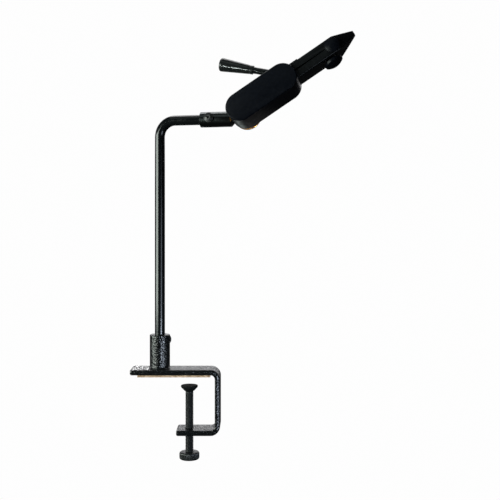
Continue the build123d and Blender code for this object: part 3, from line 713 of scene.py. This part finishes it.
def make_stem():
    """A circle carried up the post, round a quarter arc and along the arm, chamfered at both ends."""
    turn = np.linspace(0, np.pi / 2, 28)[:, None]
    chamfer = np.array([[0], [stem_chamfer], [past_chamfer]])
    corner = arm_origin + stem_bend * (arm_axis - up)
    post = up * (stem_foot + chamfer)
    arc = corner + stem_bend * (np.sin(turn) * up - np.cos(turn) * arm_axis)
    arm = arm_origin + arm_axis * (arm_length - chamfer[::-1])
    path = np.concatenate([post, arc, arm])
    heading = np.concatenate([np.repeat(up[None], 3, 0), np.cos(turn) * up + np.sin(turn) * arm_axis,
                              np.repeat(arm_axis[None], 3, 0)])
    side = np.cross(up, arm_axis)
    radius = np.full(len(path), stem_radius)
    radius[[0, -1]] -= stem_chamfer
    angle = ring_angles(64)[None, :, None]
    out = np.cos(angle) * side + np.sin(angle) * np.cross(heading, side)[:, None]
    grid = path[:, None] + radius[:, None, None] * out
    first = np.broadcast_to(path[0], grid[:1].shape)
    last = np.broadcast_to(path[-1], grid[:1].shape)
    return lay_skin("bent_stem", np.concatenate([first, grid, last]))


gloss_coat = make_gloss_coat()
dress(make_stem(), "stem", gloss_coat)

# Head swivel: a steel sleeve that slides on the arm, drawn down to a neck with an eye at its end.
# A slit lets the lock screw pinch the sleeve, and a bronze bush in the eye carries the tilt pivot.
flat_angle = radians(0.3)
bevel_angle = radians(32)
cad_merge_reach = 2e-7
swivel_edge = 0.25 * MM


def refine_copy(name, node, edge):
    """A copy of a CAD node: doubles merged, flat faces joined and the steeper edges bevelled."""
    mesh = frame["nodes"][node].data.copy()
    mesh.name = name
    shape = bmesh.new()
    shape.from_mesh(mesh)
    bmesh.ops.remove_doubles(shape, verts=shape.verts, dist=cad_merge_reach)
    bmesh.ops.dissolve_limit(shape, angle_limit=flat_angle, verts=shape.verts, edges=shape.edges)
    shape.to_mesh(mesh)
    shape.free()
    piece = show(name, mesh)
    bevel = piece.modifiers.new("soft_edges", "BEVEL")
    bevel.width = edge
    bevel.segments = 2
    bevel.limit_method = "ANGLE"
    bevel.angle_limit = bevel_angle
    bevel.harden_normals = True
    return piece


def make_gunmetal_finish():
    """Gunmetal: dark uncoated steel with a soft mottle, rubbed paler on its edges."""
    finish, tree, shader = new_finish("gunmetal", Metallic=1.0)
    grain = place_group(tree, steel_grain, Scale=300.0)
    edge_mask = place_group(tree, edge_wear_and_highlight, Radius=0.3 * MM, Scale=700.0)["Mask"]
    dark = mix_colour(tree, grain["Tone"], (0.062, 0.069, 0.069), (0.088, 0.096, 0.096))
    tree.links.new(mix_colour(tree, edge_mask, dark, (0.38, 0.39, 0.39)), shader.inputs["Base Color"])
    tree.links.new(mix_value(tree, grain["Tone"], 0.26, 0.22), shader.inputs["Roughness"])
    return finish


dress(refine_copy("swivel_sleeve", "head_swivel", swivel_edge), "head_swivel", make_gunmetal_finish())

# Tilt pivot: a button-head bolt through the eye, screwed into the housing, with a bush and a washer.
# A knurled brass wheel between the eye and the housing locks the tilt.
away = unit(joints["lever_throw"]["axis"])
pivot_spot = np.array(joints["tilt_wheel_turn"]["pos_m"])
pivot_radius = 3.5 * MM
pivot_bore = pivot_radius + bore_room
pivot_key = 4.0 * MM
pivot_edge = 1.2 * MM
washer_edge = 0.25 * MM
bush_edge = 0.2 * MM
wheel_chamfer = 0.7 * MM
wheel_teeth = 72
wheel_knurl = 0.30 * MM
wheel_land = 1.2 * MM
knurl_fade = 0.4 * MM


def make_grained_finish(name, scale, dark, pale, rough, grit=None, **sockets):
    """Colour and roughness follow the steel grain's mottle, and its grit makes the bump.

    The grit is the bump's distance and strength, and without it the surface is smooth.
    """
    finish, tree, shader = new_finish(name, **sockets)
    grain = place_group(tree, steel_grain, Scale=scale)
    tree.links.new(mix_colour(tree, grain["Tone"], dark, pale), shader.inputs["Base Color"])
    tree.links.new(mix_value(tree, grain["Tone"], *rough), shader.inputs["Roughness"])
    if grit:
        add_bump(tree, shader, grain["Height"], *grit)
    return finish


def make_brass_finish():
    """Turned brass: warm gold with a soft mottle of tarnish and a fine grit."""
    return make_grained_finish("turned_brass", 260.0, (0.78, 0.38, 0.10), (0.95, 0.55, 0.19),
                               (0.48, 0.36), (0.03 * MM, 0.4), Metallic=1.0)


def make_bronze_finish():
    """Sintered bronze: brown gold, dull and pitted with oil pores."""
    return make_grained_finish("oiled_bronze", 900.0, (0.22, 0.12, 0.05), (0.46, 0.28, 0.13),
                               (0.5, 0.36), (0.06 * MM, 0.5), Metallic=1.0)


def make_ring(name, node, origin, axis, bore, edge):
    """A flat ring: a rounded rectangle between its bore and its rim, turned about the axis."""
    low, high, rim = measure(node, origin, axis)
    middle = (low + high) / 2
    outline = [(bore, middle), (bore, low), (rim, low), (rim, high), (bore, high), (bore, middle)]
    profile = round_corners(outline, edge)[:-1]
    return turned_profile(name, profile, origin, axis, closed_rows=True)


def make_lock_wheel():
    """Diamond knurl: the lower of two triangle waves that climb the rim left and right."""
    low, high, rim = measure("tilt_lock_wheel", pivot_spot, away)
    columns = wheel_teeth * 8
    level = np.linspace(low + wheel_chamfer, high - wheel_chamfer, 33)
    turn = ring_angles(columns)[None] * wheel_teeth / (2 * np.pi)
    climb = (level[:, None] - low) * wheel_teeth / (2 * np.pi * rim)
    waves = [np.abs(2 * ((turn + slant * climb) % 1) - 1) for slant in (-1, 1)]
    fade = np.clip(np.minimum(level - level[0], level[-1] - level) / knurl_fade, 0, 1)[:, None]
    knurl = rim - wheel_knurl * np.maximum(*waves) * fade
    land = pivot_bore + wheel_land
    lower_face = np.array([(pivot_bore, low), (land, low), (rim - wheel_chamfer, low)])
    upper_face = np.array([(rim - wheel_chamfer, high), (land, high), (pivot_bore, high)])
    radius = np.concatenate([np.repeat(lower_face[:, :1], columns, 1), knurl,
                             np.repeat(upper_face[:, :1], columns, 1)])
    levels = np.concatenate([lower_face[:, 1], level, upper_face[:, 1]])
    return turned_skin("brass_lock_wheel", radius, levels[:, None], pivot_spot, away, closed_rows=True)


washer_top = measure("pivot_washer", pivot_spot, away)[1]
bolt_place = {"pos_m": pivot_spot + away * washer_top, "axis": away}
bolt = make_button_screw("pivot_button_bolt", "pivot_bolt", bolt_place, pivot_radius, pivot_key,
                         pivot_edge)
washer = make_ring("pivot_flat_washer", "pivot_washer", pivot_spot, away, pivot_bore, washer_edge)
bush = make_ring("pivot_sleeve_bush", "pivot_bush", pivot_spot, away, pivot_bore, bush_edge)
dress(bolt, "pivot_bolt", blackened_steel)
dress(washer, "pivot_washer", blackened_steel)
dress(bush, "pivot_bush", make_bronze_finish())
dress(make_lock_wheel(), "tilt_lock_wheel", make_brass_finish())

# Housing: two halves of a flat-sided oval block, milled out for the jaws' tails, in satin black.
# They part at the middle of the head and are held by three countersunk screws from the far side.
housing_edge = 0.3 * MM
countersink_edge = 0.15 * MM
head_black = make_blackened_finish(
    "satin_head_black", (0.0028, 0.0036, 0.0064), (0.0042, 0.0052, 0.0088), (0.0030, 0.0034, 0.0044),
    rough=0.36, grit=0.2, edge_width=0.4 * MM, shine=0.12)
for half in ("housing_near", "housing_far"):
    dress(refine_copy(half + "_shell", half, housing_edge), half, head_black)
countersunk_screws = refine_copy("countersunk_screws", "housing_screws", countersink_edge)
dress(countersunk_screws, "housing_screws", blackened_steel)

# Jaws: two hardened steel bars with pointed noses, parted by a narrow slit and blackened.
# The lower jaw is fixed in the housing, and the upper one rocks on the cross pin.
jaw_edge = 0.22 * MM
jaw_black = make_blackened_finish(
    "blackened_jaw_steel", (0.0036, 0.0043, 0.0052), (0.0050, 0.0060, 0.0070), (0.0095, 0.0105, 0.0115),
    rough=0.30, grit=0.06, shine=0.35)
for jaw in ("upper_jaw", "lower_jaw"):
    dress(refine_copy(jaw + "_bar", jaw, jaw_edge), jaw, jaw_black)

# Jaw pivot: a pin with a low domed head on the far side and a matching cap pressed on the near end.
# Both heads are blackened, and the cap is what shows near the nose.
jaw_spot = np.array(joints["upper_jaw_hinge"]["pos_m"])
pin_radius = 2.5 * MM
pin_round = 0.2 * MM
cap_edge = 0.8 * MM
cap_grip = 1.0 * MM
dome_land = 0.6 * MM
dome_round = 0.25 * MM
dome_start = 0.96


def domed_outline(rim, edge, height, rows=9):
    """A straight edge and a crown edge + rise * (1 - (r / R)^2), from the rim to the middle."""
    share = np.linspace(dome_start, 0, rows)
    crown = np.stack([rim * share, edge + (height - edge) * (1 - share ** 2)], 1)
    foot = round_corners([(rim - dome_land, 0), (rim, 0), (rim, edge), crown[0]], dome_round)
    return np.concatenate([foot, crown[1:]])


def make_pivot_cap():
    """A dome with a blind bore for the pin."""
    start, end, rim = measure("jaw_pivot_cap", jaw_spot, -away)
    bore = pin_radius + press_room
    hole = np.array([(0, cap_grip), (bore, cap_grip), (bore, 0)])
    profile = np.concatenate([hole, domed_outline(rim, cap_edge, end - start)])
    return turned_profile("jaw_pivot_button", profile, jaw_spot - away * start, -away)


def make_pivot_pin():
    """A pin with a domed head at its far end."""
    start, end, rim = measure("jaw_pivot_screw", jaw_spot, away)
    seat = measure("jaw_pivot_cap", jaw_spot, -away)[0]
    dome = domed_outline(rim, cap_edge, end - seat)
    tip = start - seat
    pin = round_corners([(0, tip), (pin_radius, tip), (pin_radius, 0), dome[0]], pin_round)
    profile = np.concatenate([pin[:-1], dome])
    return turned_profile("jaw_pivot_pin", profile, jaw_spot + away * seat, away)


dress(make_pivot_cap(), "jaw_pivot_cap", head_black)
dress(make_pivot_pin(), "jaw_pivot_screw", head_black)

# Adjusting screw: a thumb screw under the lower jaw that sets the jaws for the hook's wire.
# A rubber ring under its domed head keeps it from turning by itself.
adjust_spot = np.array(joints["adjusting_screw_turn"]["pos_m"])
adjust_axis = np.array(joints["adjusting_screw_turn"]["axis"])
adjust_shank = 1.75 * MM
adjust_edge = 2.4 * MM
adjust_round = 0.3 * MM
ring_room = 0.1 * MM


def make_adjusting_screw():
    """A shank and a smooth head: a straight edge, a wide round corner and a domed crown."""
    low, high, rim = measure("adjusting_screw", adjust_spot, adjust_axis)
    seat = measure("friction_ring", adjust_spot, adjust_axis)[1] + ring_room
    dome = domed_outline(rim, adjust_edge, high - seat, rows=14) + (0, seat)
    outline = [(0, low), (adjust_shank, low), (adjust_shank, seat), dome[0]]
    shank = round_corners(outline, adjust_round)
    profile = np.concatenate([shank[:-1], dome])
    return turned_profile("thumb_adjusting_screw", profile, adjust_spot, adjust_axis, columns=96)


def make_friction_ring():
    """A torus: a small circle turned about the screw's axis."""
    low, high, rim = measure("friction_ring", adjust_spot, adjust_axis)
    wire = (high - low) / 2
    angle = ring_angles(20)
    profile = np.stack([rim - wire + wire * np.cos(angle), (low + high) / 2 + wire * np.sin(angle)], 1)
    return turned_profile("rubber_friction_ring", profile, adjust_spot, adjust_axis, closed_rows=True)


def make_rubber_finish():
    """Matte black rubber with a dusty bloom."""
    return make_grained_finish("black_rubber", 600.0, (0.010, 0.010, 0.010), (0.028, 0.028, 0.027),
                               (0.65, 0.82), (0.05 * MM, 0.5), Specular_IOR_Level=0.3)


dress(make_adjusting_screw(), "adjusting_screw", head_black)
dress(make_friction_ring(), "friction_ring", make_rubber_finish())

# Return spring: an arched leaf of spring steel over the upper jaw's tail, inside the housing.
# It opens the jaws when the cam lets go.
spring_edge = 0.08 * MM


def make_spring_finish():
    """Blue-grey tempered spring steel."""
    return make_grained_finish("tempered_spring_steel", 500.0, (0.20, 0.22, 0.26), (0.36, 0.37, 0.40),
                               (0.28, 0.42), Metallic=1.0)


leaf_spring = refine_copy("return_leaf_spring", "jaw_return_spring", spring_edge)
dress(leaf_spring, "jaw_return_spring", make_spring_finish())

# Lever: a camshaft in the housing, a thin steel rod through its hub and a tapered plastic grip.
# Swinging it forward lets the cam down, so that the spring opens the jaws.
lever_spot = np.array(joints["lever_throw"]["pos_m"])
along_head = unit(jaw_spot - lever_spot)
lift = np.cross(along_head, away)
lever_angle = radians(46.4)
lever_axis = np.sin(lever_angle) * lift - np.cos(lever_angle) * along_head
grip_small = 4.0 * MM
collar_length = 3.0 * MM
groove_depth = 0.6 * MM
groove_width = 0.9 * MM
groove_flank = 0.2 * MM
grip_step = 0.1 * MM
rod_radius = 3.0 * MM
rod_neck = 2.0 * MM
neck_length = 4.15 * MM
cam_edge = 0.15 * MM


def make_grip_finish():
    """Moulded black plastic with a soft gloss and a fine grain."""
    return make_grained_finish("moulded_grip_plastic", 300.0, (0.0095, 0.0105, 0.0105),
                               (0.012, 0.0135, 0.0135), (0.21, 0.24), (0.03 * MM, 0.06),
                               Specular_IOR_Level=0.5)


def make_lever_rod():
    """A rod with a thinner neck that is pressed into the hub."""
    low, high, rim = measure("lever_rod", lever_spot, lever_axis)
    outline = [(0, low), (rod_neck, low), (rod_neck, neck_length), (rim, neck_length), (rim, high),
               (0, high)]
    corners = [0.3 * MM, 0.1 * MM, 0.35 * MM, 0.4 * MM]
    profile = round_corners(outline, corners)
    return turned_profile("lever_steel_rod", profile, lever_spot, lever_axis)


def make_lever_grip():
    """A cone with a rounded end, a collar and a turned groove at the rod, and a blind bore for it."""
    low, high, rim = measure("lever_grip", lever_spot, lever_axis)
    rod_end = measure("lever_rod", lever_spot, lever_axis)[1]
    bore = rod_radius + press_room
    collar = low + collar_length
    groove_end = collar + groove_width
    groove = grip_small - groove_depth
    outline = [(0, rod_end), (bore, rod_end), (bore, low), (grip_small, low), (grip_small, collar),
               (groove, collar + groove_flank), (groove, groove_end - groove_flank),
               (grip_small + grip_step, groove_end), (rim, high), (0, high)]
    corners = np.array([0.3, 0.25, 0.4, 0.15, 0.1, 0.1, 0.2, 2.5]) * MM
    profile = round_corners(outline, corners, steps=7)
    return turned_profile("lever_taper_grip", profile, lever_spot, lever_axis)


dress(refine_copy("lever_cam", "lever_camshaft", cam_edge), "lever_camshaft", blackened_steel)
dress(make_lever_rod(), "lever_rod", gloss_coat)
dress(make_lever_grip(), "lever_grip", make_grip_finish())

# Studio: a pale floor under the knob, a white backdrop, a wide soft box on the left, a small one on
# the right, soft boxes above and dim small lights on dark places.
# The camera stands level, a little right of the stem.
scene = bpy.context.scene
scene.view_settings.view_transform = "Standard"
floor_gap = 0.4 * MM
floor_level = cad_box[0][2] + min(joints["pad_travel"]["range_m"]) - floor_gap
floor_half = 2.0
pale = (0.988, 0.988, 0.988)
white = (1.0, 1.0, 1.0)
cool_white = (0.74, 0.85, 1.0)


def add_light(name, place, target, size, power, colour=white, spread=180):
    """A rectangular area light that faces a point; its spread is the angle that it fans out to."""
    lamp = bpy.data.lights.new(name, "AREA")
    lamp.shape = "RECTANGLE"
    lamp.size, lamp.size_y = size
    lamp.energy = power
    lamp.color = colour
    lamp.spread = radians(spread)
    light = bpy.data.objects.new(name, lamp)
    light.location = place
    light.rotation_euler = (Vector(target) - Vector(place)).to_track_quat("-Z", "Y").to_euler()
    light.visible_camera = False
    scene.collection.objects.link(light)


def make_world():
    """White to the camera; to the reflections, a white band low behind the object, and dim all round."""
    world = bpy.data.worlds.new("studio_world")
    world.use_nodes = True
    tree = world.node_tree
    tree.nodes.clear()
    ray = tree.nodes.new("ShaderNodeLightPath")
    facing = tree.nodes.new("ShaderNodeTexCoord").outputs["Generated"]
    axes = add_node(tree, "SeparateXYZ", Vector=facing)
    behind = ramp(tree, axes.outputs["Y"], 0.3, 0.95, shape="SMOOTHSTEP")
    band = ramp(tree, axes.outputs["Z"], 0.05, 0.13, shape="SMOOTHSTEP")
    upper = ramp(tree, axes.outputs["Z"], 0.18, 0.32, 1.0, 0.22, shape="SMOOTHSTEP")
    share = multiply(tree, behind, multiply(tree, band, upper))
    glow = mix_colour(tree, share, (0.004, 0.0045, 0.0055), (2.2, 2.2, 2.25))
    seen = mix_colour(tree, ray.outputs["Is Camera Ray"], glow, pale)
    backdrop = add_node(tree, "Background", Color=seen, Strength=1.0)
    output = tree.nodes.new("ShaderNodeOutputWorld")
    tree.links.new(backdrop.outputs["Background"], output.inputs["Surface"])
    return world


def make_floor():
    """One flat square: pale to the camera, dark to the reflections."""
    square = [(-1, -1), (1, -1), (1, 1), (-1, 1)]
    corners = [(floor_half * x, floor_half * y, floor_level) for x, y in square]
    mesh = bpy.data.meshes.new("studio_floor")
    mesh.from_pydata(corners, [], [(0, 1, 2, 3)])
    floor = bpy.data.objects.new("studio_floor", mesh)
    scene.collection.objects.link(floor)
    finish, tree, shader = new_finish("pale_floor", Base_Color=(0.02, 0.02, 0.02, 1.0), Roughness=0.9)
    ray = tree.nodes.new("ShaderNodeLightPath")
    glow = add_node(tree, "Emission", Color=(*pale, 1.0), Strength=1.0)
    mix = tree.nodes.new("ShaderNodeMixShader")
    tree.links.new(ray.outputs["Is Camera Ray"], mix.inputs[0])
    tree.links.new(shader.outputs["BSDF"], mix.inputs[1])
    tree.links.new(glow.outputs["Emission"], mix.inputs[2])
    output = next(node for node in tree.nodes if node.type == "OUTPUT_MATERIAL")
    tree.links.new(mix.outputs["Shader"], output.inputs["Surface"])
    mesh.materials.append(finish)


scene.world = make_world()
make_floor()
add_light("left_box", (-0.97, -0.52, 0.18), (0, 0, 0.18), size=(1.03, 0.52), power=16.0,
          colour=(0.90, 1.0, 0.92))
add_light("right_box", (0.55, -0.62, 0), (0, 0, 0.176), size=(0.40, 0.34), power=0.08,
          colour=cool_white, spread=36)
add_light("socket_side", (0.26, -0.37, -0.05), (0, 0, 0.03), size=(0.13, 0.05), power=0.045,
          colour=cool_white, spread=40)
add_light("grip_spot", (-0.177, -0.478, 0.065), (0.078, -0.042, 0.298), size=(0.06, 0.06),
          power=0.003, colour=(0.90, 1.0, 0.97), spread=8)
add_light("knob_side", (0.188, -0.085, -0.054), (0.0575, -0.0127, -0.06), size=(0.22, 0.05),
          power=0.03, colour=cool_white, spread=70)
add_light("overhead", (0.05, 0.35, 0.95), (0.06, -0.02, 0.13), size=(0.7, 0.4), power=3.0)
add_light("high_front", (-0.2, -0.5, 0.95), (0.08, -0.02, 0.24), size=(0.7, 0.5), power=0.4,
          colour=(0.90, 1.0, 0.98))
add_light("head_back", (0.05, 0.53, 0.02), (0.1, -0.03, 0.225), size=(0.25, 0.2), power=0.004,
          colour=(0.90, 1.0, 0.94), spread=20)
add_light("plate_spot", (-0.085, 0.5, 0.095), (-0.022, 0, 0.007), size=(0.03, 0.03), power=0.00005,
          spread=4)
add_light("brass_spot", (0.195, 0.14, -0.02), (0.09, -0.016, 0.2285), size=(0.05, 0.05),
          power=0.002, colour=(1.0, 0.95, 0.88), spread=5)

camera_data = bpy.data.cameras.new("photo_camera")
camera_data.lens = 61.6
camera_data.shift_y = -0.064
camera = bpy.data.objects.new("photo_camera", camera_data)
camera.location = (0.0855, -0.812, 0.149)
camera.rotation_euler = (radians(90), 0, 0)
scene.collection.objects.link(camera)
scene.camera = camera
